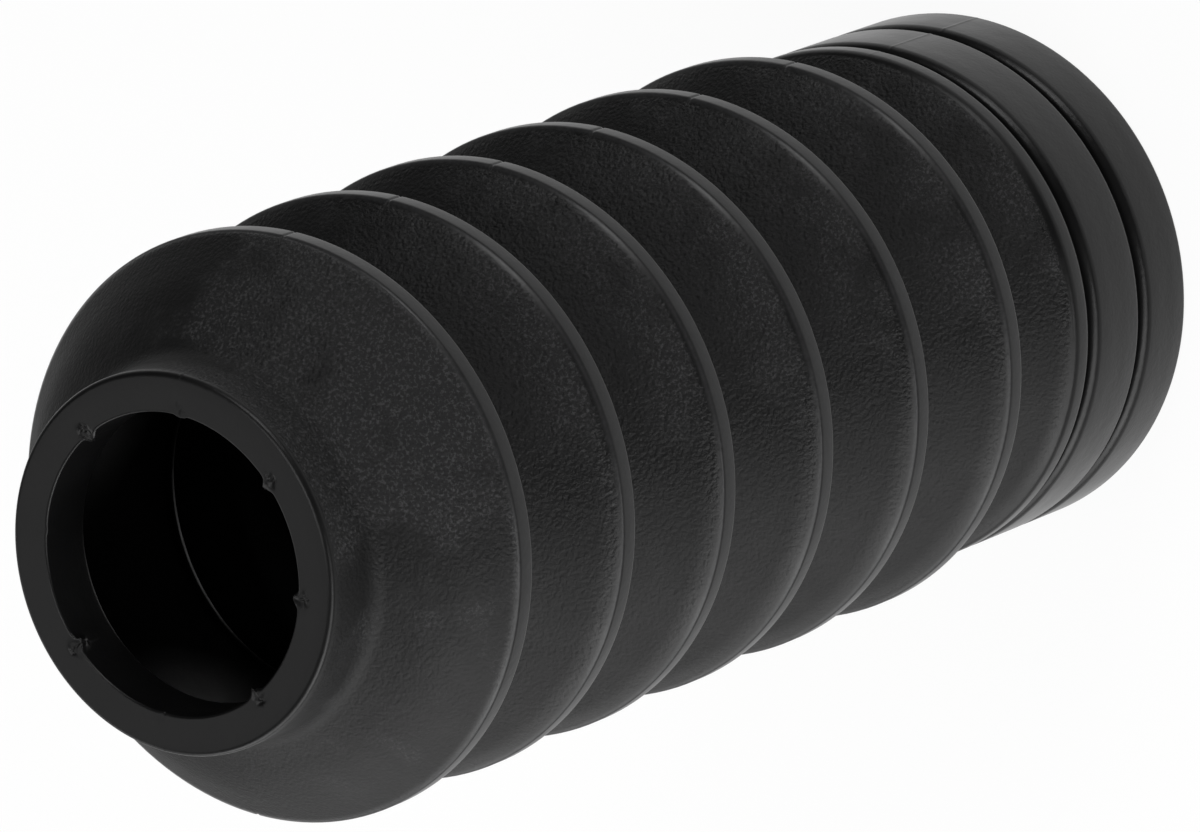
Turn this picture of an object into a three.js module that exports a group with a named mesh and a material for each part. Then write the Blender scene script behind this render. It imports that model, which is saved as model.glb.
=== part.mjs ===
// Fork gaiter: one moulded rubber bellows that covers the bare stanchion of a motorbike's front fork.
// It stands on its wide collar, with its axis on +Z and the small neck at the top, as it is worn.
// Lengths are in millimetres. The origin is the centre of the collar's end face.
import * as THREE from 'three';

// Collar, the plain cylinder that grips the fork's lower leg
const COLLAR_RADIUS = 31.8;
const COLLAR_BORE_RADIUS = 28.8;
const END_BAND = 9.8;
const MIDDLE_BAND = 11.4;
const GROOVE_WIDTH = 1;
const GROOVE_DEPTH = 1.4;
const GROOVE_LIP = 0.8;
const SHOULDER_BAND = 3.7;
const SHOULDER_EDGE_RADIUS = 1.2;
const COLLAR_OUTER_EDGE_RADIUS = 0.9;
const COLLAR_INNER_EDGE_RADIUS = 0.5;
const COLLAR_THROAT_RADIUS = 2.5;

// Folds, each a narrow flat land with a conical flank on either side
const CREST_COUNT = 6;
const CREST_PITCH = 20.3;
const CREST_RADIUS = 34;
const CREST_LAND = 2.2;
const CREST_EDGE_RADIUS = 0.6;
const CREST_HOLLOW_RADIUS = 1;
const ROOT_RADIUS = 24;
const ROOT_OUTER_FILLET = 1.2;
const ROOT_INNER_FILLET = 1.5;
const LAST_FOLD_LENGTH = 17.2;
const FOLD_WALL = 1.8;

// Dome, the flank that rises from the first crest to the neck
const DOME_LENGTH = 12.1;
const DOME_BULGE = 0.9;
const DOME_CURVE_RADIUS = 32;

// Neck, the thick ring that grips the stanchion
const NECK_RADIUS = 21.9;
const NECK_BORE_RADIUS = 17.25;
const NECK_LENGTH = 7.8;
const NECK_BORE_DEPTH = 7;
const NECK_FOOT_FILLET = 3.5;
const NECK_OUTER_EDGE_RADIUS = 1;
const NECK_INNER_EDGE_RADIUS = 0.35;
const NECK_THROAT_RADIUS = 0.8;

// Fineness of the round stretches
const STEPS_AROUND = 40;
const STEPS_SMALL_ARC = 1;
const STEPS_ARC = 2;
const STEPS_LONG_ARC = 3;

// A fillet never takes more than this share of the straight on either side of its corner.
const LARGEST_FILLET_SHARE = 0.45;

const RUBBER = new THREE.MeshStandardMaterial({ color: 0x1a1a1b, roughness: 0.62, metalness: 0 });

// Heights above the collar's end face, from the bottom up
const endGrooveHeight = END_BAND;
const upperGrooveHeight = endGrooveHeight + MIDDLE_BAND;
const shoulderHeight = upperGrooveHeight + SHOULDER_BAND;
const lowestCrestHeight = shoulderHeight + LAST_FOLD_LENGTH;
const topCrestHeight = lowestCrestHeight + (CREST_COUNT - 1) * CREST_PITCH;
const neckFootHeight = topCrestHeight + DOME_LENGTH;
const neckEndHeight = neckFootHeight + NECK_LENGTH;
const neckThroatHeight = neckEndHeight - NECK_BORE_DEPTH;

// A point of the half section: x is the distance from the axis, y is the height.
function point(radius, height) {
  return new THREE.Vector2(radius, height);
}

// A corner of the half section, with the radius that rounds it and the steps of that arc.
function corner(at, fillet = 0, steps = STEPS_SMALL_ARC) {
  return { at, fillet, steps };
}

// Where the line through a and b meets the line through c and d.
function meeting(a, b, c, d) {
  const along = b.clone().sub(a);
  const other = d.clone().sub(c);
  const share = c.clone().sub(a).cross(other) / along.cross(other);
  return a.clone().addScaledVector(along, share);
}

// The two ends of a flank, moved towards the axis side by the thickness of the wall.
// Flanks run upwards, so the inside lies to the left of their direction.
function innerFace([low, high], wall) {
  const along = high.clone().sub(low).normalize();
  const inwards = point(-along.y, along.x).multiplyScalar(wall);
  return [low.clone().add(inwards), high.clone().add(inwards)];
}

// The points that replace one corner: an arc that leaves both neighbouring straights smoothly.
function roundedCorner(before, { at, fillet, steps }, after) {
  const back = before.clone().sub(at);
  const forward = after.clone().sub(at);
  const shorter = Math.min(back.length(), forward.length());
  back.normalize();
  forward.normalize();
  const halfAngle = Math.acos(THREE.MathUtils.clamp(back.dot(forward), -1, 1)) / 2;
  const tangent = Math.min(fillet / Math.tan(halfAngle), shorter * LARGEST_FILLET_SHARE);
  if (tangent === 0) return [at];
  const radius = tangent * Math.tan(halfAngle);
  const bisector = back.clone().add(forward).normalize();
  const centre = at.clone().addScaledVector(bisector, radius / Math.sin(halfAngle));
  const start = at.clone().addScaledVector(back, tangent).sub(centre);
  const end = at.clone().addScaledVector(forward, tangent).sub(centre);
  const turn = Math.atan2(start.cross(end), start.dot(end));
  const arc = [];
  for (let step = 0; step <= steps; step += 1) {
    arc.push(start.clone().rotateAround(point(0, 0), turn * step / steps).add(centre));
  }
  return arc;
}

// A closed outline of rounded corners, with its first point repeated at the end.
function roundedOutline(corners) {
  const outline = corners.flatMap((here, index) => {
    const before = corners.at(index - 1).at;
    const after = corners[(index + 1) % corners.length].at;
    return roundedCorner(before, here, after);
  });
  return [...outline, outline[0].clone()];
}

// A square-bottomed groove around the collar, centred at a height, with bevelled lips.
function grooveCorners(height) {
  const low = height - GROOVE_WIDTH / 2;
  const high = height + GROOVE_WIDTH / 2;
  const belowLip = COLLAR_RADIUS - GROOVE_LIP;
  const bottom = COLLAR_RADIUS - GROOVE_DEPTH;
  return [
    corner(point(COLLAR_RADIUS, low - GROOVE_LIP)),
    corner(point(belowLip, low)),
    corner(point(bottom, low)),
    corner(point(bottom, high)),
    corner(point(belowLip, high)),
    corner(point(COLLAR_RADIUS, high + GROOVE_LIP)),
  ];
}

// One fold seen from outside: its root, then the two edges of its crest's land.
function foldPoints(crestHeight) {
  return {
    root: point(ROOT_RADIUS, crestHeight - CREST_PITCH / 2),
    landLow: point(CREST_RADIUS, crestHeight - CREST_LAND / 2),
    landHigh: point(CREST_RADIUS, crestHeight + CREST_LAND / 2),
  };
}

const folds = Array.from(
  { length: CREST_COUNT },
  (unused, index) => foldPoints(lowestCrestHeight + index * CREST_PITCH),
);
const shoulder = point(COLLAR_RADIUS, shoulderHeight);
const neckFoot = point(NECK_RADIUS, neckFootHeight);

// Every flank from the shoulder to the neck's foot, as its lower and its upper end.
const flanks = folds.flatMap(({ root, landLow }, index) => [
  [index === 0 ? shoulder : folds[index - 1].landHigh, root],
  [root, landLow],
]);
flanks.push([folds.at(-1).landHigh, neckFoot]);

// The dome swells a little outside the straight line from the top crest to the neck's foot.
function domeCrown([low, high]) {
  const along = high.clone().sub(low).normalize();
  const outwards = point(along.y, -along.x).multiplyScalar(DOME_BULGE);
  return low.clone().lerp(high, 1 / 2).add(outwards);
}

function outerCorners() {
  const foldCorners = folds.flatMap(({ root, landLow, landHigh }) => [
    corner(root, ROOT_OUTER_FILLET, STEPS_ARC),
    corner(landLow, CREST_EDGE_RADIUS),
    corner(landHigh, CREST_EDGE_RADIUS),
  ]);
  return [
    corner(point(COLLAR_RADIUS, 0), COLLAR_OUTER_EDGE_RADIUS, STEPS_ARC),
    ...grooveCorners(endGrooveHeight),
    ...grooveCorners(upperGrooveHeight),
    corner(shoulder, SHOULDER_EDGE_RADIUS, STEPS_LONG_ARC),
    ...foldCorners,
    corner(domeCrown(flanks.at(-1)), DOME_CURVE_RADIUS, STEPS_LONG_ARC),
    corner(neckFoot, NECK_FOOT_FILLET, STEPS_LONG_ARC),
    corner(point(NECK_RADIUS, neckEndHeight), NECK_OUTER_EDGE_RADIUS, STEPS_ARC),
  ];
}

// The inside, from the neck's end face down: each flank's inner face meets the next one's.
function innerCorners() {
  const inner = flanks.map((flank) => innerFace(flank, FOLD_WALL));
  const turns = inner.slice(1).map((face, index) => meeting(...inner[index], ...face));
  const foldCorners = turns.map((at, index) => (index % 2 === 0
    ? corner(at, ROOT_INNER_FILLET, STEPS_ARC)
    : corner(at, CREST_HOLLOW_RADIUS, STEPS_ARC)));
  const boreLine = [point(COLLAR_BORE_RADIUS, 0), point(COLLAR_BORE_RADIUS, shoulderHeight)];
  const collarThroat = meeting(...boreLine, ...inner[0]);
  return [
    corner(point(NECK_BORE_RADIUS, neckEndHeight), NECK_INNER_EDGE_RADIUS),
    corner(point(NECK_BORE_RADIUS, neckThroatHeight), NECK_THROAT_RADIUS),
    ...foldCorners.reverse(),
    corner(collarThroat, COLLAR_THROAT_RADIUS, STEPS_ARC),
    corner(point(COLLAR_BORE_RADIUS, 0), COLLAR_INNER_EDGE_RADIUS),
  ];
}

// The half section turned about the axis. A lathe turns about Y, so the result is stood up on Z.
function gaiterGeometry() {
  const outline = roundedOutline([...outerCorners(), ...innerCorners()]);
  const geometry = new THREE.LatheGeometry(outline, STEPS_AROUND);
  geometry.rotateX(Math.PI / 2);
  return geometry;
}

const gaiter = new THREE.Mesh(gaiterGeometry(), RUBBER);
gaiter.name = 'fork_gaiter';

const model = new THREE.Group();
model.add(gaiter);

export default model;
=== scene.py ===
# %% [markdown]
# # A fork gaiter in black rubber
#
# A fork gaiter is the rubber bellows that keeps grit off the bare stanchion of a motorbike's front fork.
# It is one moulding. A thick-walled neck grips the stanchion, six folds take up the fork's travel, and a
# wide collar with two grooves grips the lower leg. This lesson builds it by turning one half section about
# its axis, and then spends its effort on the rubber, the marks that moulding leaves, and the light.
#
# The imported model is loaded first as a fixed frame. It stands on its collar, with its axis on +Z, and it
# gives the sizes that the visual model has to keep.

# %% Load the frame
import math
from collections import namedtuple

import bpy
from mathutils import Matrix, Vector


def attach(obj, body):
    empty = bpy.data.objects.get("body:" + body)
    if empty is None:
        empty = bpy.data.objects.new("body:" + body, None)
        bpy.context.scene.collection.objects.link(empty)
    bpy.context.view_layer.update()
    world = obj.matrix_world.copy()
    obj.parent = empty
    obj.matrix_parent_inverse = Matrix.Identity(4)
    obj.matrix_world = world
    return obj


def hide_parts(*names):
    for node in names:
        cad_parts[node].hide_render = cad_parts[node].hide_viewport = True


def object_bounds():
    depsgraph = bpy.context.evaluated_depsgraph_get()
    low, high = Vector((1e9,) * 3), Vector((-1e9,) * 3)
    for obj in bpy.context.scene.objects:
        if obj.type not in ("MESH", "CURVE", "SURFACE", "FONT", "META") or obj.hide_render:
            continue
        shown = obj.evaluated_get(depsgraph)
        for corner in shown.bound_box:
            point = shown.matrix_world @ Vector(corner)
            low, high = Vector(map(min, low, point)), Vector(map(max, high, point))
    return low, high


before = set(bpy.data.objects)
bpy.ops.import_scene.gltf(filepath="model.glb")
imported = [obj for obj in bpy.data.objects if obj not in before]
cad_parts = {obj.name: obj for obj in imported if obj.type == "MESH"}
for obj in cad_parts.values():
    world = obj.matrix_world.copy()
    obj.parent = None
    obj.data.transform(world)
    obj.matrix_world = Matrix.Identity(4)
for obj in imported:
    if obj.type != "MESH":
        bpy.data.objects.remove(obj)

cad_low, cad_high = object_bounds()
print("CAD box in metres:", [round(side, 4) for side in cad_high - cad_low])

# %% [markdown]
# ## Sizes
#
# Every size is a named value in metres. The crest radius and the whole length come from the frame. The
# others repeat the driving sizes of the construction, from which all heights are worked out, so a corner
# of the section is never placed by eye. An edge, a fillet or a hollow is the radius that rounds a corner.

# %% Name the sizes
MM = 0.001

CREST_RADIUS = (cad_high.x - cad_low.x) / 2
GAITER_LENGTH = cad_high.z - cad_low.z

COLLAR_RADIUS = 31.8 * MM
COLLAR_BORE_RADIUS = 28.8 * MM
COLLAR_OUTER_EDGE = 0.9 * MM
COLLAR_INNER_EDGE = 0.5 * MM
COLLAR_THROAT_FILLET = 2.5 * MM
END_BAND = 9.8 * MM
MIDDLE_BAND = 11.4 * MM
SHOULDER_BAND = 3.7 * MM
SHOULDER_EDGE = 1.2 * MM

GROOVE_WIDTH = 1 * MM
GROOVE_DEPTH = 1.4 * MM
GROOVE_LIP = 0.8 * MM
GROOVE_LIP_EDGE = 1.2 * MM
GROOVE_SIDE_EDGE = 0.9 * MM
GROOVE_BOTTOM_FILLET = 0.15 * MM

CREST_COUNT = 6
CREST_PITCH = 20.3 * MM
CREST_LAND = 2.2 * MM
CREST_EDGE = 0.6 * MM
CREST_HOLLOW = 1 * MM
ROOT_RADIUS = 24 * MM
ROOT_FILLET = 1.2 * MM
ROOT_HOLLOW = 1.5 * MM
FOLD_WALL = 1.8 * MM
LAST_FOLD_LENGTH = 17.2 * MM

DOME_LENGTH = 12.1 * MM
DOME_BULGE = 0.9 * MM
DOME_CURVE_RADIUS = 32 * MM

NECK_RADIUS = 21.9 * MM
NECK_BORE_RADIUS = 17.25 * MM
NECK_BORE_DEPTH = 7 * MM
NECK_FOOT_FILLET = 3.5 * MM
NECK_OUTER_EDGE = 0.7 * MM
NECK_INNER_EDGE = 0.3 * MM
NECK_THROAT_EDGE = 0.8 * MM

upper_groove_height = END_BAND + MIDDLE_BAND
shoulder_height = upper_groove_height + SHOULDER_BAND
lowest_crest_height = shoulder_height + LAST_FOLD_LENGTH
top_crest_height = lowest_crest_height + (CREST_COUNT - 1) * CREST_PITCH
neck_length = GAITER_LENGTH - top_crest_height - DOME_LENGTH
print(f"top crest {top_crest_height / MM:.1f} mm up, neck {neck_length / MM:.1f} mm long")

# %% [markdown]
# ## A way to write node trees
#
# Geometry Nodes and shaders are both graphs of nodes. Drawn by hand they are easy to read, but made in a
# script they turn into long lists of links. Two small classes keep them short. A `Wire` is one output
# socket, and arithmetic on it adds the Math node for that step. A `Tree` adds every other kind of node by
# one method that takes the node's type, its settings and what goes into its sockets.

# %% Wrap sockets and trees
class Wire:
    """One value on its way through a node tree."""

    def __init__(self, tree, socket):
        self.tree = tree
        self.socket = socket

    def math(self, operation, *others):
        inputs = dict(enumerate((self, *others)))
        return self.tree.node("ShaderNodeMath", {"operation": operation}, inputs)

    def clamped(self):
        return self.tree.node("ShaderNodeClamp", {}, {"Value": self})

    def __add__(self, other):
        return self.math("ADD", other)

    def __radd__(self, other):
        return self.math("ADD", other)

    def __sub__(self, other):
        return self.math("SUBTRACT", other)

    def __rsub__(self, other):
        return self.tree.node("ShaderNodeMath", {"operation": "SUBTRACT"}, {0: other, 1: self})

    def __mul__(self, other):
        return self.math("MULTIPLY", other)

    def __rmul__(self, other):
        return self.math("MULTIPLY", other)

    def __truediv__(self, other):
        return self.math("DIVIDE", other)

    def __neg__(self):
        return self.math("MULTIPLY", -1)

    def __lt__(self, other):
        return self.math("LESS_THAN", other)

    def __gt__(self, other):
        return self.math("GREATER_THAN", other)


class Tree:
    """A node tree to which nodes are added by type, settings and inputs."""

    def __init__(self, node_tree):
        self.node_tree = node_tree

    def node(self, kind, settings=None, inputs=None, output=0):
        made = self.node_tree.nodes.new(kind)
        for name, value in (settings or {}).items():
            setattr(made, name, value)
        for key, value in (inputs or {}).items():
            self.plug(made.inputs[key], value)
        return Wire(self, made.outputs[output]) if made.outputs else None

    def plug(self, socket, value):
        if isinstance(value, Wire):
            self.node_tree.links.new(value.socket, socket)
        else:
            socket.default_value = value


print("wrapped:", Wire.__name__, "and", Tree.__name__)

# %% [markdown]
# ## The corners of the half section
#
# Cut along its axis, the gaiter shows one closed outline: up the outside, over the neck's end face and
# down the inside. The outline is written as corners, and a Fillet Curve node rounds them afterwards, so
# each edge keeps one radius wherever the corner moves. The folds follow a rule and are worked out inside
# the tree. Only the corners of the collar and of the neck are listed here.
#
# A corner also carries how many points its arc gets, how grained the rubber is there, and whether it is
# on the outside. Grain is 1 at the roots of the folds and on the dome, and 0 where the mould was polished.
# Between two corners it changes evenly, so on a flank it also tells how deep in the valley a point lies.

# %% List the corners of the collar
Corner = namedtuple("Corner", "radius height fillet steps grain outside", defaults=(0, 1, 0, 1))


def groove_corners(height):
    """A groove round the collar, centred at a height: a soft lip, a straight side and the bottom."""
    half_width = GROOVE_WIDTH / 2
    profile = [
        (half_width + GROOVE_LIP, COLLAR_RADIUS, GROOVE_LIP_EDGE, 4),
        (half_width, COLLAR_RADIUS - GROOVE_LIP, GROOVE_SIDE_EDGE, 3),
        (half_width, COLLAR_RADIUS - GROOVE_DEPTH, GROOVE_BOTTOM_FILLET, 2),
    ]
    below = [Corner(radius, height - away, fillet, steps) for away, radius, fillet, steps in profile]
    above = [Corner(radius, height + away, fillet, steps) for away, radius, fillet, steps in profile]
    return below + above[::-1]


collar_outside = [
    Corner(COLLAR_RADIUS, 0, COLLAR_OUTER_EDGE, steps=6),
    *groove_corners(END_BAND),
    *groove_corners(upper_groove_height),
    Corner(COLLAR_RADIUS, shoulder_height, SHOULDER_EDGE, steps=6),
]

# Inside the collar, the throat is where the wall of the lowest flank meets the bore.
lowest_root_height = lowest_crest_height - CREST_PITCH / 2
last_flank = Vector((ROOT_RADIUS - COLLAR_RADIUS, lowest_root_height - shoulder_height))
wall_rise = FOLD_WALL * last_flank.length / abs(last_flank.x)
share = (COLLAR_BORE_RADIUS - COLLAR_RADIUS) / last_flank.x
throat_height = shoulder_height + share * last_flank.y - wall_rise
collar_inside = [
    Corner(COLLAR_BORE_RADIUS, throat_height, COLLAR_THROAT_FILLET, steps=5, outside=0),
    Corner(COLLAR_BORE_RADIUS, 0, COLLAR_INNER_EDGE, steps=3, outside=0),
]
print(f"{len(collar_outside)} + {len(collar_inside)} corners, throat {throat_height / MM:.1f} mm up")

# %% [markdown]
# The neck's heights count from the top crest, so the neck rides up when folds are added. The dome swells
# a little outside the straight line from the top crest to the neck's foot. Fine rings on both sides of
# the bore's rim give the torn gates enough points to be shaped.

# %% List the corners of the dome and the neck
dome_low = Vector((CREST_RADIUS, CREST_LAND / 2))
dome_high = Vector((NECK_RADIUS, DOME_LENGTH))
dome_line = (dome_high - dome_low).normalized()
dome_crown = (dome_low + dome_high) / 2 + Vector((dome_line.y, -dome_line.x)) * DOME_BULGE

neck_end = DOME_LENGTH + neck_length
RING_STEP = 0.16 * MM
FIRST_RING = 2
LAST_RING = 14
rim_rings = [ring * RING_STEP for ring in range(FIRST_RING, LAST_RING + 1)]
neck = [
    Corner(dome_crown.x, dome_crown.y, DOME_CURVE_RADIUS, steps=8, grain=1),
    Corner(NECK_RADIUS, DOME_LENGTH, NECK_FOOT_FILLET, steps=7, grain=1),
    Corner(NECK_RADIUS, neck_end, NECK_OUTER_EDGE, steps=6),
    *[Corner(NECK_BORE_RADIUS + ring, neck_end) for ring in reversed(rim_rings)],
    Corner(NECK_BORE_RADIUS, neck_end, NECK_INNER_EDGE, steps=3),
    *[Corner(NECK_BORE_RADIUS, neck_end - ring) for ring in rim_rings],
    Corner(NECK_BORE_RADIUS, neck_end - NECK_BORE_DEPTH, NECK_THROAT_EDGE, steps=4, outside=0),
]
print(len(neck), "corners, of which", 2 * len(rim_rings), "are rings at the rim")

# %% [markdown]
# ## The bellows tree
#
# The bellows is a shape that follows a rule, which is what Geometry Nodes are for. A Mesh Line makes one
# point for each corner. The point's index says which corner it is: in the folds, every third point is a
# root and the two after it are the edges of a crest's narrow land. The line becomes a closed curve, Fillet
# Curve rounds it, and Subdivide Curve adds points on the longer straights.
#
# The usual next step is Curve to Mesh along a circle. Here a Grid is bent round instead, one column for
# each angle and one row for each point of the section, because then the columns may gather where detail
# is wanted: at the mould's parting line and at the eight gates on the neck.
#
# First come the rules that give each corner its place. Listed corners go through an Index Switch, which
# is a list that nodes can look things up in.

# %% Look up the listed corners
def vector(tree, x, y, z):
    return tree.node("ShaderNodeCombineXYZ", {}, {0: x, 1: y, 2: z})


def chosen(tree, kind, index, values):
    """The value that stands at an index of a list."""
    switch = tree.node("GeometryNodeIndexSwitch", {"data_type": kind}).socket.node
    while len(switch.index_switch_items) < len(values):
        switch.index_switch_items.new()
    for socket, value in zip(switch.inputs, (index, *values)):
        tree.plug(socket, value)
    return Wire(tree, switch.outputs[0])


def listed(tree, index, corners):
    """(radius, height, fillet) and (steps, grain, outside) of listed corners, chosen by index."""
    shapes = [(corner.radius, corner.height, corner.fillet) for corner in corners]
    carried = [(corner.steps, corner.grain, corner.outside) for corner in corners]
    return [chosen(tree, "VECTOR", index, values) for values in (shapes, carried)]


def raised(tree, halves, height):
    """The same corners, all higher."""
    shape, carried = halves
    lift = vector(tree, 0, height, 0)
    return [tree.node("ShaderNodeVectorMath", {"operation": "ADD"}, {0: shape, 1: lift}), carried]


listed_corners = len(collar_outside) + len(neck) + len(collar_inside)
print(listed_corners, "corners are looked up")

# %% [markdown]
# The folds' corners are worked out from the index instead, so that their number is free. Outside, a fold
# is a root and the two edges of a land. Inside, the wall turns one sharp corner at each root and at each
# crest, and its thickness is measured square to the flank.

# %% Work out the corners of the folds
CREST_EDGE_STEPS = 4
ROOT_STEPS = 5
HOLLOW_STEPS = 4


def outer_folds(tree, index, size):
    """Corners outside the folds: a root, then the low and the high edge of the land, and so on up."""
    fold = (index / 3).math("FLOOR")
    part = index - fold * 3
    is_root = part < 0.5
    on_crest = 1 - is_root
    radius = size["Root radius"] * is_root + size["Crest radius"] * on_crest
    beside = (part - 1.5) * size["Land"] * on_crest - is_root * size["Pitch"] / 2
    height = size["Lowest crest"] + fold * size["Pitch"] + beside
    fillet = size["Root fillet"] * is_root + size["Crest edge"] * on_crest
    steps = is_root * (ROOT_STEPS - CREST_EDGE_STEPS) + CREST_EDGE_STEPS
    return vector(tree, radius, height, fillet), vector(tree, steps, is_root, 1)


def inner_folds(tree, index, size):
    """Corners inside the folds, from the top crest down: each flank's wall has one thickness."""
    fold = (index / 2).math("FLOOR")
    is_root = index - fold * 2
    slope = (size["Crest radius"] - size["Root radius"]) / ((size["Pitch"] - size["Land"]) / 2)
    across = size["Wall"] * (slope * slope + 1).math("SQRT")
    crest = size["Crest radius"] + slope * size["Land"] / 2 - across
    root = size["Root radius"] - across
    radius = crest + is_root * (root - crest)
    height = size["Top crest"] - (fold + is_root / 2) * size["Pitch"]
    fillet = is_root * (ROOT_HOLLOW - CREST_HOLLOW) + CREST_HOLLOW
    return vector(tree, radius, height, fillet), vector(tree, HOLLOW_STEPS, 0, 0)


# Each fold adds three corners outside and two inside.
fold_corners = (3 + 2) * CREST_COUNT
print(fold_corners, "corners are worked out")

# %% [markdown]
# The stretches of corners are laid end to end: the collar, the folds going up, the neck, the folds going
# down inside, and the collar's bore. Each stretch counts its corners from nought.

# %% Lay the stretches end to end
def laid_in_order(tree, index, stretches):
    """One pair of vectors out of several stretches of corners, and how many corners there are."""
    end = 0
    ends = []
    pairs = []
    for count, corners_at in stretches:
        pairs.append(corners_at(index - end))
        end = end + count
        ends.append(end)
    halves = pairs.pop()
    while pairs:
        earlier = pairs.pop()
        is_earlier = index < ends[len(pairs)] - 0.5
        halves = [
            tree.node(
                "GeometryNodeSwitch",
                {"input_type": "VECTOR"},
                {"Switch": is_earlier, "False": after, "True": before},
            )
            for after, before in zip(halves, earlier)
        ]
    return halves, end


print("corners in all:", listed_corners + fold_corners)

# %% [markdown]
# The corners now become a curve. Each point stores its shape and what it carries, because the values
# have to survive the fillets, and the arcs take them over from their corner.

# %% Draw and round the section
STRAIGHT_STEP = 3.2 * MM


def parts_of(tree, wire):
    split = tree.node("ShaderNodeSeparateXYZ", {}, {0: wire}).socket.node
    return [Wire(tree, output) for output in split.outputs]


def named(tree, name):
    return tree.node("GeometryNodeInputNamedAttribute", {"data_type": "FLOAT_VECTOR"}, {"Name": name})


def stored(tree, geometry, data_type, name, value):
    return tree.node(
        "GeometryNodeStoreNamedAttribute",
        {"data_type": data_type, "domain": "POINT"},
        {"Geometry": geometry, "Name": name, "Value": value},
    )


def straight_cuts(tree):
    """How many points a straight stretch gets: one for each whole step of its length."""
    here = tree.node("GeometryNodeInputPosition")
    index = tree.node("GeometryNodeInputIndex")
    following = tree.node(
        "GeometryNodeFieldAtIndex",
        {"data_type": "FLOAT_VECTOR", "domain": "POINT"},
        {"Value": here, "Index": index + 1},
    )
    length = tree.node(
        "ShaderNodeVectorMath", {"operation": "DISTANCE"}, {0: here, 1: following}, "Value"
    )
    return (length / STRAIGHT_STEP).math("FLOOR")


def section_curve(tree, size):
    """The rounded half section as a closed curve, with what each corner carries as attributes."""
    index = tree.node("GeometryNodeInputIndex")
    (shape, carried), count = laid_in_order(
        tree,
        index,
        [
            (len(collar_outside), lambda i: listed(tree, i, collar_outside)),
            (size["Folds"] * 3, lambda i: outer_folds(tree, i, size)),
            (len(neck), lambda i: raised(tree, listed(tree, i, neck), size["Top crest"])),
            (size["Folds"] * 2, lambda i: inner_folds(tree, i, size)),
            (len(collar_inside), lambda i: listed(tree, i, collar_inside)),
        ],
    )
    line = tree.node("GeometryNodeMeshLine", {}, {"Count": count})
    line = stored(tree, line, "FLOAT_VECTOR", "shape", shape)
    line = stored(tree, line, "FLOAT_VECTOR", "carried", carried)
    radius, height, fillet = parts_of(tree, named(tree, "shape"))
    place = vector(tree, radius, 0, height)
    line = tree.node("GeometryNodeSetPosition", {}, {"Geometry": line, "Position": place})
    curve = tree.node("GeometryNodeMeshToCurve", {}, {"Mesh": line})
    curve = tree.node("GeometryNodeSetSplineCyclic", {}, {"Geometry": curve, "Cyclic": True})
    steps = parts_of(tree, named(tree, "carried"))[0]
    curve = tree.node(
        "GeometryNodeFilletCurve",
        {"mode": "POLY"},
        {"Curve": curve, "Count": steps, "Radius": fillet, "Limit Radius": True},
    )
    return tree.node("GeometryNodeSubdivideCurve", {}, {"Curve": curve, "Cuts": straight_cuts(tree)})


print(f"straights are cut every {STRAIGHT_STEP / MM:.1f} mm")

# %% [markdown]
# The grid's columns become angles. The last column and the last row fall on the first ones and are merged
# with them later, which closes the mesh. An even turn less a small sine of eight waves brings the columns
# closer together at the eight gates, and two of the gates lie on the parting line.

# %% Turn the section
STEPS_AROUND = 256
GATES = 8
GATHERING = 0.84


def sampled(tree, curve, value, row):
    """The three parts of a value, read from the section's point at each row."""
    here = tree.node(
        "GeometryNodeSampleIndex",
        {"data_type": "FLOAT_VECTOR", "domain": "POINT"},
        {"Geometry": curve, "Value": value, "Index": row},
    )
    return parts_of(tree, here)


def turned_section(tree, curve, around):
    """The section turned about the axis, with the columns gathered at the gates."""
    rows = tree.node("GeometryNodeAttributeDomainSize", {"component": "CURVE"}, {"Geometry": curve})
    grid = tree.node(
        "GeometryNodeMeshGrid", {}, {"Vertices X": around + 1, "Vertices Y": rows + 1}
    )
    index = tree.node("GeometryNodeInputIndex")
    column = ((index + 0.5) / (rows + 1)).math("FLOOR")
    row = index - column * (rows + 1)
    row = row - rows * (row > rows - 0.5)
    even = column / around * (2 * math.pi)
    angle = even - (even * GATES).math("SINE") * (GATHERING / GATES)
    shape = sampled(tree, curve, tree.node("GeometryNodeInputPosition"), row)
    carried = sampled(tree, curve, named(tree, "carried"), row)
    radius, height = shape[0], shape[2]
    grain, outside = carried[1], carried[2]
    return grid, angle, radius, height, grain, outside


widest = 2 * math.pi * CREST_RADIUS / STEPS_AROUND * (1 + GATHERING)
print(f"columns are at most {widest / MM:.1f} mm apart at a crest")

# %% [markdown]
# ## Marks that moulding leaves
#
# Two mould halves met along the gaiter, and left a fine parting line on either side, with a small nick
# where it crosses each crest. The rubber came in through gates on the neck's bore, and tearing the gates
# off left pits and stumps on the rim. Both are real relief of a tenth of a millimetre or more, so they
# are moved in the mesh rather than drawn by a bump texture.
#
# Each gate has its own strength, as torn rubber has. A gate's mark is a pit in the end face, a stump that
# stands in it, and a tongue that reaches into the bore. An inset is how far a mark's middle lies outside
# the rim, and a shift is how far it lies to one side of the gate.

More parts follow.
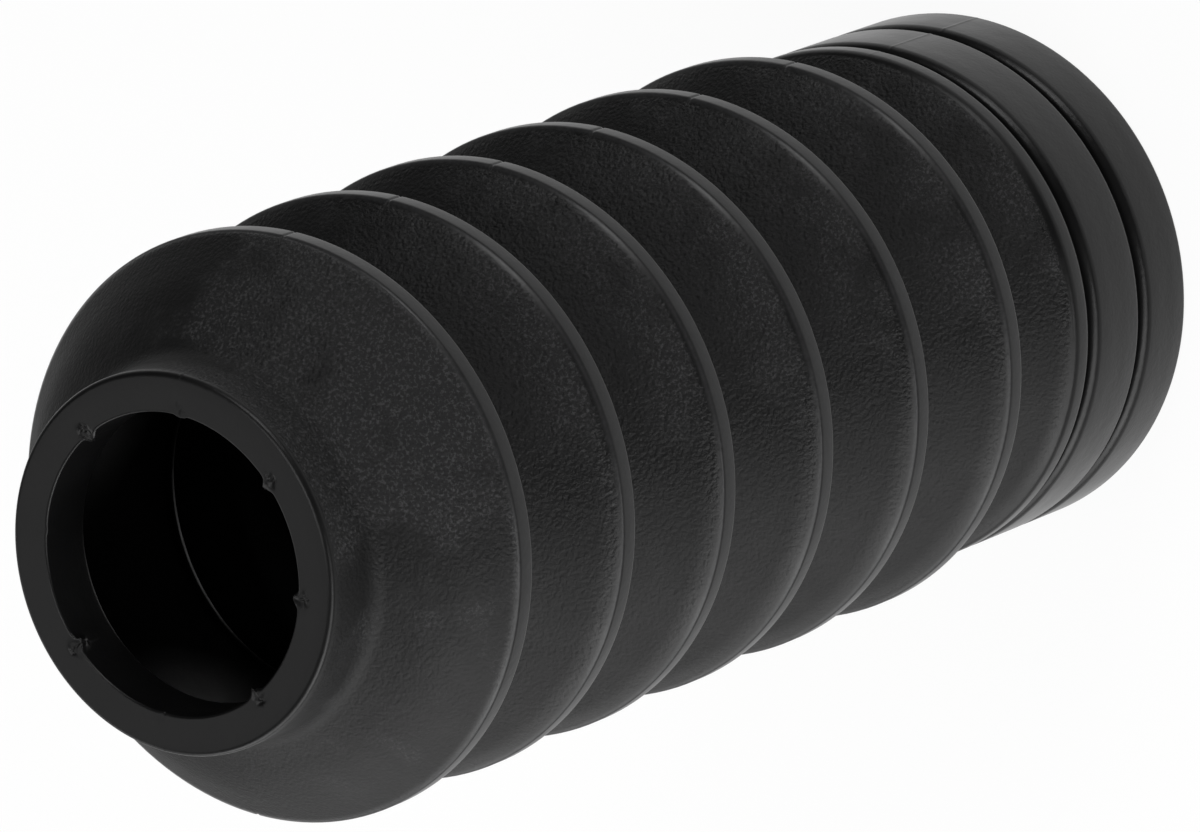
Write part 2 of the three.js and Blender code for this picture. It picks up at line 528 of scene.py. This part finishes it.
# %% Describe the gates
GATE_STRENGTHS = (0.35, 1.0, 0.12, 0.8, 0.1, 0.9, 1.0, 0.95)
PIT_DEPTH = 0.8 * MM
PIT_RADIUS = 0.7 * MM
PIT_INSET = 0.55 * MM
STUMP_HEIGHT = 0.6 * MM
STUMP_RADIUS = 0.5 * MM
STUMP_INSET = 0.5 * MM
STUMP_SHIFT = 0.12 * MM
TONGUE_REACH = 1.1 * MM
TONGUE_RADIUS = 0.7 * MM
TONGUE_SHIFT = -0.3 * MM
TONGUE_THICKNESS = 0.5 * MM
TONGUE_LENGTH = 1.5 * MM
FACE_SKIN = 0.5 * MM
TEAR_SIZE = MM / 2.1
TEAR_FLOOR = 0.3
TEAR_GAIN = 3.2
TONGUE_GAIN = 2.2
TONGUE_CUT = 0.35
ROUNDING_GUARD = 0.01


def bell(distance, width):
    """A smooth bump: 1 at no distance, falling to nothing past about twice the width."""
    ratio = distance / width
    return (-(ratio * ratio)).math("EXPONENT")


def tear_noise(tree, position, size):
    """A noise that lies mostly between 0.3 and 0.7, which the marks stretch to look torn."""
    inputs = {"Vector": position, "Scale": 1 / size, "Detail": 2.0}
    return tree.node("ShaderNodeTexNoise", {}, inputs, "Fac")


def gate_marks(tree, angle, radius, height, position, end_height):
    """How far each point of the rim moves outwards and upwards at the gates."""
    sector = 2 * math.pi / GATES
    gate = (angle / sector).math("ROUND")
    sideways = (angle - gate * sector) * radius
    full_turns = (gate / GATES + ROUNDING_GUARD).math("FLOOR")
    strength = chosen(tree, "FLOAT", gate - full_turns * GATES, GATE_STRENGTHS)
    torn = tear_noise(tree, position, TEAR_SIZE)
    ragged = ((torn - TEAR_FLOOR) * TEAR_GAIN).math("MAXIMUM", 0)
    outwards = radius - NECK_BORE_RADIUS
    depth = end_height - height
    pit = bell(sideways, PIT_RADIUS) * bell(outwards - PIT_INSET, PIT_RADIUS)
    stump = bell(sideways - STUMP_SHIFT, STUMP_RADIUS) * bell(outwards - STUMP_INSET, STUMP_RADIUS)
    upwards = (stump * STUMP_HEIGHT - pit * PIT_DEPTH) * ragged * bell(depth, FACE_SKIN)
    tongue = bell(sideways - TONGUE_SHIFT, TONGUE_RADIUS) * bell(outwards, TONGUE_THICKNESS)
    tongue = tongue * bell(depth, TONGUE_LENGTH)
    inwards = tongue * TONGUE_REACH * (torn * TONGUE_GAIN - TONGUE_CUT)
    return -(strength * inwards), strength * upwards


print(len(GATE_STRENGTHS), "gates, the faintest at", min(GATE_STRENGTHS))

# %% [markdown]
# The parting line is a broken ridge, finer on the grained flanks. A crest was trimmed where the line
# crosses it, and the trimming left a nick.

# %% Describe the parting line
PARTING_RIDGE = 0.07 * MM
PARTING_NICK = 0.24 * MM
PARTING_WIDTH = 0.15 * MM
NICK_START_RADIUS = CREST_RADIUS - 0.35 * MM
NICK_FADE = 0.2 * MM
NICK_LEAST = 0.4
BREAK_SIZE = MM / 0.35
BREAK_GAIN = 3
BREAK_GAPS = 0.9
FINER_ON_GRAIN = 0.75


def parting_marks(tree, position, radius, grain, outside):
    """How far the outside moves outwards at the parting line, and inwards at its nicks."""
    sideways = parts_of(tree, position)[1]
    broken = tear_noise(tree, position, BREAK_SIZE)
    on_crest = ((radius - NICK_START_RADIUS) / NICK_FADE).clamped()
    nick = on_crest * PARTING_NICK * (broken + NICK_LEAST)
    ridge = PARTING_RIDGE * (broken * BREAK_GAIN - BREAK_GAPS).clamped()
    ridge = ridge * (1 - grain * FINER_ON_GRAIN)
    return bell(sideways, PARTING_WIDTH) * (ridge - nick) * outside


print(f"ridge up to {PARTING_RIDGE / MM} mm high, nicks about {PARTING_NICK / MM} mm deep")

# %% [markdown]
# ## Build the bellows
#
# The tree's sizes are named inputs, so the bellows can be stretched, given more folds or a thicker wall
# from the modifier panel. It ends in Realize Instances and Set Material, as trees for export should.

# %% Put the tree together
BELLOWS_SIZES = {
    "Folds": ("NodeSocketInt", CREST_COUNT),
    "Pitch": ("NodeSocketFloat", CREST_PITCH),
    "Land": ("NodeSocketFloat", CREST_LAND),
    "Wall": ("NodeSocketFloat", FOLD_WALL),
    "Crest radius": ("NodeSocketFloat", CREST_RADIUS),
    "Crest edge": ("NodeSocketFloat", CREST_EDGE),
    "Root radius": ("NodeSocketFloat", ROOT_RADIUS),
    "Root fillet": ("NodeSocketFloat", ROOT_FILLET),
    "Lowest crest": ("NodeSocketFloat", lowest_crest_height),
    "Steps around": ("NodeSocketInt", STEPS_AROUND),
}
MERGE_DISTANCE = 0.001 * MM


def at_angle(tree, angle, radius, height):
    return vector(tree, angle.math("COSINE") * radius, angle.math("SINE") * radius, height)


def build_bellows_tree(material):
    node_tree = bpy.data.node_groups.new("Bellows", "GeometryNodeTree")
    interface = node_tree.interface
    interface.new_socket("Geometry", in_out="INPUT", socket_type="NodeSocketGeometry")
    for name, (kind, value) in BELLOWS_SIZES.items():
        interface.new_socket(name, in_out="INPUT", socket_type=kind).default_value = value
    interface.new_socket("Geometry", in_out="OUTPUT", socket_type="NodeSocketGeometry")
    tree = Tree(node_tree)
    given = tree.node("NodeGroupInput").socket.node
    size = {name: Wire(tree, given.outputs[name]) for name in BELLOWS_SIZES}
    size["Top crest"] = size["Lowest crest"] + (size["Folds"] - 1) * size["Pitch"]
    end_height = size["Top crest"] + neck_end

    curve = section_curve(tree, size)
    mesh, angle, radius, height, grain, outside = turned_section(tree, curve, size["Steps around"])
    plain = at_angle(tree, angle, radius, height)
    gate_out, gate_up = gate_marks(tree, angle, radius, height, plain, end_height)
    marked = radius + gate_out + parting_marks(tree, plain, radius, grain, outside)
    place = at_angle(tree, angle, marked, (height + gate_up).math("MINIMUM", end_height))

    mesh = stored(tree, mesh, "FLOAT", "grain", grain)
    mesh = tree.node("GeometryNodeSetPosition", {}, {"Geometry": mesh, "Position": place})
    mesh = tree.node("GeometryNodeMergeByDistance", {}, {"Geometry": mesh, "Distance": MERGE_DISTANCE})
    mesh = tree.node("GeometryNodeSetShadeSmooth", {}, {"Geometry": mesh})
    mesh = tree.node("GeometryNodeRealizeInstances", {}, {"Geometry": mesh})
    mesh = tree.node("GeometryNodeSetMaterial", {}, {"Geometry": mesh, "Material": material})
    tree.node("NodeGroupOutput", {}, {0: mesh})
    return node_tree


print("inputs of the tree:", ", ".join(BELLOWS_SIZES))

# %% [markdown]
# ## The rubber
#
# Black rubber is not a flat black. Its colour is very dark and nearly the same all over, so what the eye
# reads is gloss. The mould's flanks were etched, which gives a fine grain that breaks the light into
# sparkle. The crests, the neck's ring and the collar were turned and polished, so they are smoother and
# carry the brighter highlights.
#
# A grey is painted into the colour on the side that faced the light. It is painted sparkle in soft random
# patches, with bright flecks that are painted glints. There is hardly any in the valleys between the
# folds, which stay dark as painted shade. The grain stands out most on that side too. The edges of the
# crests carry a painted grey highlight, and soft random patches make the black a little greyer all over.
# All of this is one Principled shader: the masks below only steer its colour, roughness and bump.

# %% Make masks for the rubber
# The side that faced the light; grey sparkle is painted into the colour there.
LIT_SIDE_ANGLE = math.radians(-35)
# A band just inside each crest's edge, where a grey highlight is painted into the colour and the rubber is
# a little smoother.
EDGE_BAND_RADIUS = CREST_RADIUS - 0.22 * MM
EDGE_BAND_WIDTH = 0.2 * MM
BLOTCH_SIZE = 6 * MM
LIT_SIDE_FACING = (0.55, 0.97)
GRAINED_FROM = (0.01, 0.08)
MATT_FROM = (0.02, 0.25)
VALLEY_FROM = (0.25, 0.8)
SPARKLE_FROM = (0.98, 1.55)
BLOTCH_SPARKLE = 1.7
LIT_SIDE_SPARKLE = 0.55
DOME_SPARKLE = 0.14
# How much of the painted sparkle is kept out of the valleys, so that they stay dark as painted shade.
VALLEY_SHADE = 0.85


def empty_tree(owner):
    """The node tree of a material or a world, with nothing in it."""
    owner.use_nodes = True
    owner.node_tree.nodes.clear()
    return Tree(owner.node_tree)


def noise(tree, place, size, detail=3.0, roughness=0.5):
    inputs = {"Vector": place, "Scale": 1 / size, "Detail": detail, "Roughness": roughness}
    return tree.node("ShaderNodeTexNoise", {}, inputs, "Fac")


def between(tree, value, limits):
    """0 below the low limit, 1 above the high one, and a smooth rise from one to the other."""
    low, high = limits
    inputs = {"Value": value, "From Min": low, "From Max": high}
    return tree.node("ShaderNodeMapRange", {"interpolation_type": "SMOOTHSTEP"}, inputs)


def rubber_masks(tree, place):
    """Where the rubber is grained, matt, on its lit side, under painted sparkle, on the collar or under
    the painted crest-edge highlight, each from 0 to 1.
    """
    grain = tree.node("ShaderNodeAttribute", {"attribute_name": "grain"}, {}, "Fac")
    x, y, z = parts_of(tree, place)
    radius = (x * x + y * y).math("SQRT")
    facing = (x * math.cos(LIT_SIDE_ANGLE) + y * math.sin(LIT_SIDE_ANGLE)) / radius
    lit_side = between(tree, facing, LIT_SIDE_FACING)
    grained = between(tree, grain, GRAINED_FROM)
    below_dome = z < top_crest_height
    valley = between(tree, grain, VALLEY_FROM) * below_dome
    blotch = noise(tree, place, BLOTCH_SIZE)
    sparkle_drift = blotch * BLOTCH_SPARKLE + lit_side * LIT_SIDE_SPARKLE + (1 - below_dome) * DOME_SPARKLE
    return {
        "grained": grained,
        "matt": between(tree, grain, MATT_FROM),
        "lit_side": lit_side,
        "blotch": blotch,
        # Painted sparkle: thickest on the lit side and the dome, in random patches, mostly kept out of the
        # valleys as painted shade.
        "painted_sparkle": between(tree, sparkle_drift, SPARKLE_FROM) * grained * (1 - valley * VALLEY_SHADE),
        "collar": z < shoulder_height,
        "edge_band": bell(radius - EDGE_BAND_RADIUS, EDGE_BAND_WIDTH),
    }


# The painted sparkle lies thickest on this side, the side that faced the light.
print(f"dust lies thickest at {math.degrees(LIT_SIDE_ANGLE):.0f} degrees round from +X")

# %% [markdown]
# The grain is a noise less a pattern of cells, which looks like the print of etched steel. A broader and
# much weaker noise makes the polished skin wander a little. The colour runs from near black to a grey
# that holds random tone, painted sparkle, painted glints and the painted crest-edge highlight, and the
# sheen runs from polished to matt. The values ending in RELIEF, GREY and ROUGHNESS say how much each mask
# or noise adds to the bump, to the greyness and to the roughness.

# %% Make the rubber material
GRAIN_SIZE = 0.5 * MM
GRAIN_DEPTH = 0.2 * MM
PEBBLE_SIZE = 0.5 * MM
SKIN_SIZE = 1.8 * MM
GLINT_SIZE = 0.36 * MM
GLINT_FROM = (0.5, 0.64)
FINE_RELIEF = 1.3
PEBBLE_RELIEF = 0.5
SKIN_RELIEF = 0.15
LIT_SIDE_GRAIN = 0.7
CLEAN_GRAIN = 0.25
POLISHED_GRAIN = 0.05
RUBBER_COLOUR = (0.0032, 0.0032, 0.0033, 1)
TONE_AND_SHEEN_COLOUR = (0.034, 0.034, 0.0348, 1)
BLOTCH_GREY = 0.06
SPARKLE_GREY = 0.14
GLINT_GREY = 0.85
EDGE_HIGHLIGHT_LEAST = 0.1
POLISHED_ROUGHNESS = 0.36
MATT_ROUGHNESS = 0.2
COLLAR_ROUGHNESS = -0.05
BLOTCH_ROUGHNESS = 0.12
GLINT_ROUGHNESS = 0.1
EDGE_BAND_ROUGHNESS = -0.06
SPECULAR_LEVEL = 0.2


def rubber_material():
    material = bpy.data.materials.new("moulded_black_rubber")
    tree = empty_tree(material)
    place = Wire(tree, tree.node("ShaderNodeTexCoord").socket.node.outputs["Object"])
    mask = rubber_masks(tree, place)

    fine = noise(tree, place, GRAIN_SIZE, roughness=0.6)
    skin = noise(tree, place, SKIN_SIZE, detail=2.0)
    pebbles = tree.node(
        "ShaderNodeTexVoronoi", {"feature": "F1"}, {"Vector": place, "Scale": 1 / PEBBLE_SIZE}, "Distance"
    )
    grain_share = mask["grained"] * (mask["lit_side"] * LIT_SIDE_GRAIN + CLEAN_GRAIN) + POLISHED_GRAIN
    relief = (fine * FINE_RELIEF - pebbles * PEBBLE_RELIEF) * grain_share + skin * SKIN_RELIEF
    bump = tree.node("ShaderNodeBump", {}, {"Strength": 1.0, "Distance": GRAIN_DEPTH, "Height": relief})

    # Bright flecks within the painted sparkle are painted glints.
    painted_glints = between(tree, noise(tree, place, GLINT_SIZE, roughness=0.65), GLINT_FROM)
    painted_glints = painted_glints * mask["painted_sparkle"]
    # The grey on the crest edges is a painted highlight.
    edge_highlight = mask["edge_band"] * (fine * (1 - EDGE_HIGHLIGHT_LEAST) + EDGE_HIGHLIGHT_LEAST)
    # Random grey tone, painted sparkle and painted glints, all in the colour.
    tone_and_sheen = mask["blotch"] * BLOTCH_GREY + mask["painted_sparkle"] * SPARKLE_GREY + painted_glints * GLINT_GREY
    shade = tree.node(
        "ShaderNodeMix",
        {"data_type": "RGBA"},
        {"Factor": (tone_and_sheen + edge_highlight).clamped(), "A": RUBBER_COLOUR, "B": TONE_AND_SHEEN_COLOUR},
        2,
    )
    roughness = POLISHED_ROUGHNESS + mask["matt"] * MATT_ROUGHNESS + mask["collar"] * COLLAR_ROUGHNESS
    roughness = roughness + (mask["blotch"] - 0.5) * BLOTCH_ROUGHNESS
    roughness = roughness + painted_glints * GLINT_ROUGHNESS + mask["edge_band"] * EDGE_BAND_ROUGHNESS
    shader = tree.node(
        "ShaderNodeBsdfPrincipled",
        {},
        {
            "Base Color": shade,
            "Roughness": roughness,
            "Normal": bump,
            "Specular IOR Level": SPECULAR_LEVEL,
        },
    )
    tree.node("ShaderNodeOutputMaterial", {}, {"Surface": shader})
    return material


rubber = rubber_material()
print(rubber.name, "has", len(rubber.node_tree.nodes), "nodes")

# %% [markdown]
# ## Turn the tree into a plain mesh
#
# The modifier's inputs are set by the identifiers of their sockets, because a name may be shared. The
# evaluated result is copied to a plain mesh, and the modifier goes.

# %% Evaluate the bellows
def evaluated_piece(name, node_tree, values):
    """A plain mesh object made by a node tree, with the modifier's inputs set by identifier."""
    carrier = bpy.data.objects.new(name + "_carrier", bpy.data.meshes.new(name + "_seed"))
    bpy.context.scene.collection.objects.link(carrier)
    modifier = carrier.modifiers.new("Bellows", "NODES")
    modifier.node_group = node_tree
    for item in node_tree.interface.items_tree:
        if item.in_out == "INPUT" and item.name in values:
            modifier[item.identifier] = values[item.name]
    graph = bpy.context.evaluated_depsgraph_get()
    mesh = bpy.data.meshes.new_from_object(carrier.evaluated_get(graph), depsgraph=graph)
    bpy.data.objects.remove(carrier)
    mesh.name = name
    piece = bpy.data.objects.new(name, mesh)
    bpy.context.scene.collection.objects.link(piece)
    return piece


bellows_tree = build_bellows_tree(rubber)
gaiter = evaluated_piece(
    "gaiter", bellows_tree, {name: value for name, (kind, value) in BELLOWS_SIZES.items()}
)
highest = max(vertex.co.z for vertex in gaiter.data.vertices)
print(len(gaiter.data.vertices), "vertices,", len(gaiter.data.polygons), "faces")
print(f"{highest / MM:.2f} mm high")

NODE = "fork_gaiter"
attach(gaiter, "root")
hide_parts(NODE)

# %% [markdown]
# ## Camera
#
# The photograph looks down into the neck from a long way off, and the camera is rolled, so that the
# standing gaiter seems to lie across the frame. The angles were found by fitting circles to the outlines
# of the crests.

# %% Place the camera
VIEW_AZIMUTH = math.radians(28.739)
VIEW_ELEVATION = math.radians(53.069)
VIEW_ROLL = math.radians(110.619)
VIEW_DISTANCE = 1272.4 * MM
VIEW_CENTRE = Vector((-0.74, -1.33, 81.14)) * MM
LENS = 328.03
SENSOR = 36
FARTHEST_SEEN = 40


def view_directions():
    """Right, up and back of the camera, in the frame of the object."""
    azimuth, elevation = VIEW_AZIMUTH, VIEW_ELEVATION
    back = Vector((math.sin(azimuth), -math.cos(azimuth), 0)) * math.cos(elevation)
    back.z = math.sin(elevation)
    level = Vector((0, 0, 1)).cross(back).normalized()
    upright = back.cross(level)
    up = upright * math.cos(VIEW_ROLL) + level * math.sin(VIEW_ROLL)
    return up.cross(back), up, back


right, up, back = view_directions()
camera_data = bpy.data.cameras.new("camera")
camera_data.lens = LENS
camera_data.sensor_width = SENSOR
camera_data.clip_end = FARTHEST_SEEN
camera = bpy.data.objects.new("camera", camera_data)
bpy.context.scene.collection.objects.link(camera)
turn = Matrix((right, up, back)).transposed().to_4x4()
camera.matrix_world = Matrix.Translation(VIEW_CENTRE + back * VIEW_DISTANCE) @ turn
bpy.context.scene.camera = camera
print("camera at", [round(part, 3) for part in camera.location])

# %% [markdown]
# ## Floor
#
# The gaiter was photographed on white. A pale floor gives its lower side something bright to reflect.
# Seen straight by the camera, or in a glossy surface, the floor is mostly white by itself, so the
# background is white without more light on the rubber. A small share of it is still plain and lit, and
# keeps the shadow. Farther out than the camera's frame shows, the white sheet fades to grey. The white
# round the gaiter is a painted pool of light, and the grey beyond is painted shade, which also darkens
# what the rubber reflects from far off.

# %% Make the floor
FLOOR_HALF_WIDTH = 12
WHITE_REACH = 0.17
GREY_START = 0.5
GLOW_SHARE = 0.93
WHITE_SHEET = {"lit": 0.86, "seen": 1.0}
# The far floor is painted shade round a painted pool of light, both for the light and for what looks at
# it.
PAINTED_SHADE_SHEET = {"lit": 0.4, "seen": 0.4}


def sheet_shader(tree, seen, levels):
    """Plain paper for the light, and an even tone of its own for whatever looks at it."""
    tone = (levels["lit"], levels["lit"], levels["lit"], 1)
    matt = tree.node("ShaderNodeBsdfDiffuse", {}, {"Color": tone})
    glow = tree.node("ShaderNodeEmission", {}, {"Color": (1, 1, 1, 1), "Strength": levels["seen"]})
    return tree.node("ShaderNodeMixShader", {}, {0: seen * GLOW_SHARE, 1: matt, 2: glow})


def floor_material():
    material = bpy.data.materials.new("pale_floor")
    tree = empty_tree(material)
    path = tree.node("ShaderNodeLightPath").socket.node
    rays = [Wire(tree, path.outputs[f"Is {kind} Ray"]) for kind in ("Camera", "Glossy", "Transmission")]
    seen = rays[0].math("MAXIMUM", rays[1]).math("MAXIMUM", rays[2])
    place = Wire(tree, tree.node("ShaderNodeTexCoord").socket.node.outputs["Object"])
    away = tree.node("ShaderNodeVectorMath", {"operation": "LENGTH"}, {0: place}, "Value")
    fade = between(tree, away, (WHITE_REACH, GREY_START))
    near = sheet_shader(tree, seen, WHITE_SHEET)
    far = sheet_shader(tree, seen, PAINTED_SHADE_SHEET)
    mixed = tree.node("ShaderNodeMixShader", {}, {0: fade, 1: near, 2: far})
    tree.node("ShaderNodeOutputMaterial", {}, {"Surface": mixed})
    return material


def make_floor():
    square = [(-1, -1, 0), (1, -1, 0), (1, 1, 0), (-1, 1, 0)]
    mesh = bpy.data.meshes.new("floor")
    mesh.from_pydata([Vector(p) * FLOOR_HALF_WIDTH for p in square], [], [(0, 1, 2, 3)])
    mesh.materials.append(floor_material())
    floor = bpy.data.objects.new("floor", mesh)
    bpy.context.scene.collection.objects.link(floor)
    return floor


floor = make_floor()
print(f"floor white to {WHITE_REACH} m and grey from {GREY_START} m")

# %% [markdown]
# ## Light
#
# Soft boxes stand all round, low ones the strongest, because the photograph's brightest rims are on the
# gaiter's lower side. Together they light the rubber at a plain level. The world adds only a faint fill.
# A box's direction is given along the camera's right, up and back.

# %% Light the scene
WORLD_LEVEL = 0.04


def soft_box(name, direction, watts, width, height, distance=1.0):
    """A soft box that faces the middle of the gaiter."""
    towards = (right * direction[0] + up * direction[1] + back * direction[2]).normalized()
    data = bpy.data.lights.new(name, "AREA")
    data.shape = "RECTANGLE"
    data.size = width
    data.size_y = height
    data.energy = watts
    lamp = bpy.data.objects.new(name, data)
    lamp.location = VIEW_CENTRE + towards * distance
    lamp.rotation_mode = "QUATERNION"
    lamp.rotation_quaternion = towards.to_track_quat("Z", "Y")
    bpy.context.scene.collection.objects.link(lamp)
    print(name, "stands", round(lamp.location.z, 2), "m above the floor")


soft_box("under", (0, -1, 0), 7.5, 1.2, 0.5, distance=0.9)
soft_box("low front", (0.36, -0.77, 0.52), 6.2, 0.7, 0.6)
soft_box("low left", (-0.75, -0.45, -0.35), 1.5, 0.7, 0.4)
soft_box("left", (-0.9, -0.34, 0.28), 1.0, 0.5, 0.5)
soft_box("over the neck", (-0.6, -0.11, 0.8), 2.9, 0.45, 0.45)
soft_box("high back", (0.1, 0.8, 0.6), 1.4, 0.35, 0.25)
soft_box("high front", (-0.18, 0.69, 0.7), 2.5, 0.3, 0.3)
soft_box("front", (0.56, -0.36, 0.75), 1.9, 0.4, 0.3)

world = bpy.data.worlds.new("studio")
sky = empty_tree(world)
surround = sky.node("ShaderNodeBackground", {}, {"Color": (1, 1, 1, 1), "Strength": WORLD_LEVEL})
sky.node("ShaderNodeOutputWorld", {}, {"Surface": surround})
bpy.context.scene.world = world
bpy.context.scene.view_settings.view_transform = "Standard"
